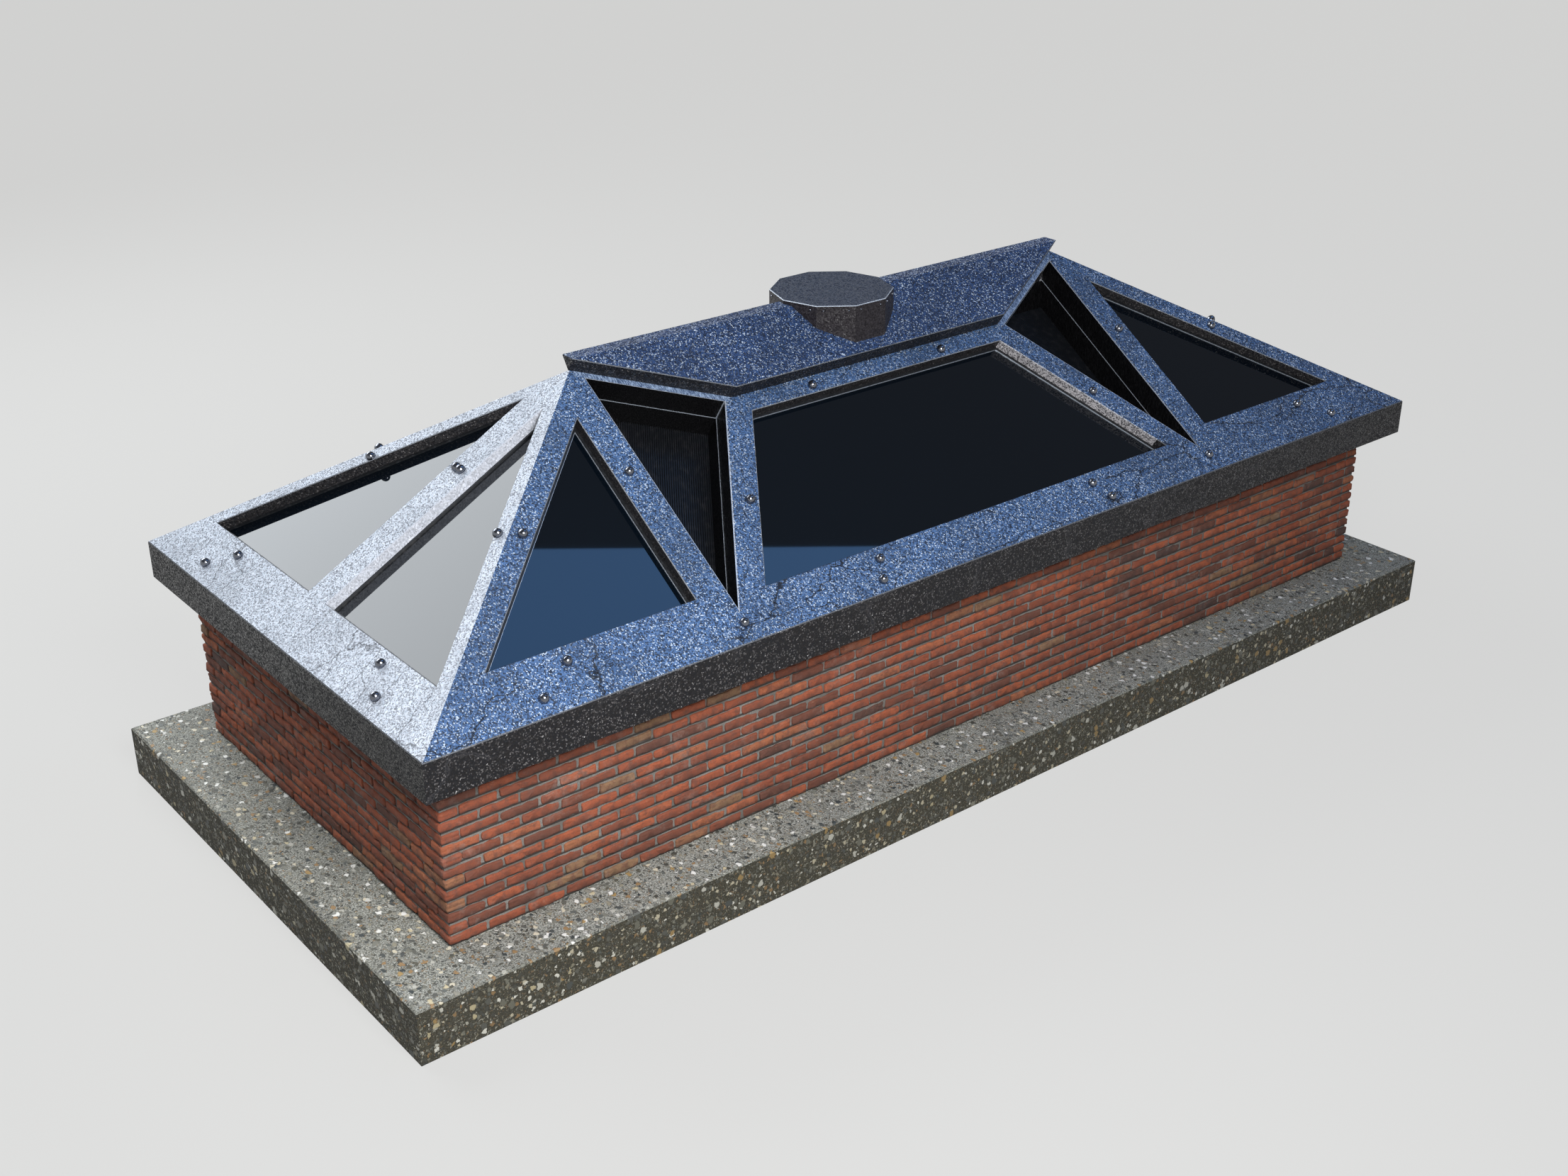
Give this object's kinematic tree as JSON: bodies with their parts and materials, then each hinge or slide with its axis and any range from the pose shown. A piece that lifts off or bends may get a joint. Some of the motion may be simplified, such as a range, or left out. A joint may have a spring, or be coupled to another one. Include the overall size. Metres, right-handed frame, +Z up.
{
  "type": "skylight",
  "caption": "Hipped roof light with glazed slopes, deep ribbed bays and a ridge cowl, on a brick upstand and a thick concrete slab",
  "frame": {"origin": "middle of the slab's underside", "axes": "+X along the ridge, +Y from the front to the back, +Z up"},
  "size_m": [7.64, 3.3, 2.5465],
  "materials": {
    "bay_lining": "brushed dark",
    "brickwork": "rough brick",
    "concrete": "exposed aggregate",
    "cowl": "dark granular",
    "eave_coating": "dark granular",
    "frame_coating": "granular with light specks",
    "glass": "dark tinted",
    "ribbed_floor": "satin",
    "ridge_plate": "dark granular"
  },
  "bodies": {
    "root": {"back_eave_beam": "eave_coating", "back_left_bay_floor": "ribbed_floor", "back_left_bay_lining": "bay_lining", "back_left_brace": "frame_coating", "back_left_hip": "frame_coating", "back_left_rafter": "frame_coating", "back_left_side_pane": "glass", "back_main_pane": "glass", "back_ridge_deck": "frame_coating", "back_ridge_plate": "ridge_plate", "back_right_bay_floor": "ribbed_floor", "back_right_bay_lining": "bay_lining", "back_right_brace": "frame_coating", "back_right_hip": "frame_coating", "back_right_rafter": "frame_coating", "back_right_side_pane": "glass", "base_slab": "concrete", "brick_curb": "brickwork", "front_eave_beam": "eave_coating", "front_left_bay_floor": "ribbed_floor", "front_left_bay_lining": "bay_lining", "front_left_brace": "frame_coating", "front_left_hip": "frame_coating", "front_left_rafter": "frame_coating", "front_left_side_pane": "glass", "front_main_pane": "glass", "front_ridge_deck": "frame_coating", "front_ridge_plate": "ridge_plate", "front_right_bay_floor": "ribbed_floor", "front_right_bay_lining": "bay_lining", "front_right_brace": "frame_coating", "front_right_hip": "frame_coating", "front_right_rafter": "frame_coating", "front_right_side_pane": "glass", "left_eave_beam": "eave_coating", "left_end_back_pane": "glass", "left_end_front_pane": "glass", "left_end_rafter": "frame_coating", "ridge_cowl": "cowl", "right_eave_beam": "eave_coating", "right_end_back_pane": "glass", "right_end_front_pane": "glass", "right_end_rafter": "frame_coating"}
  },
  "joints": []
}
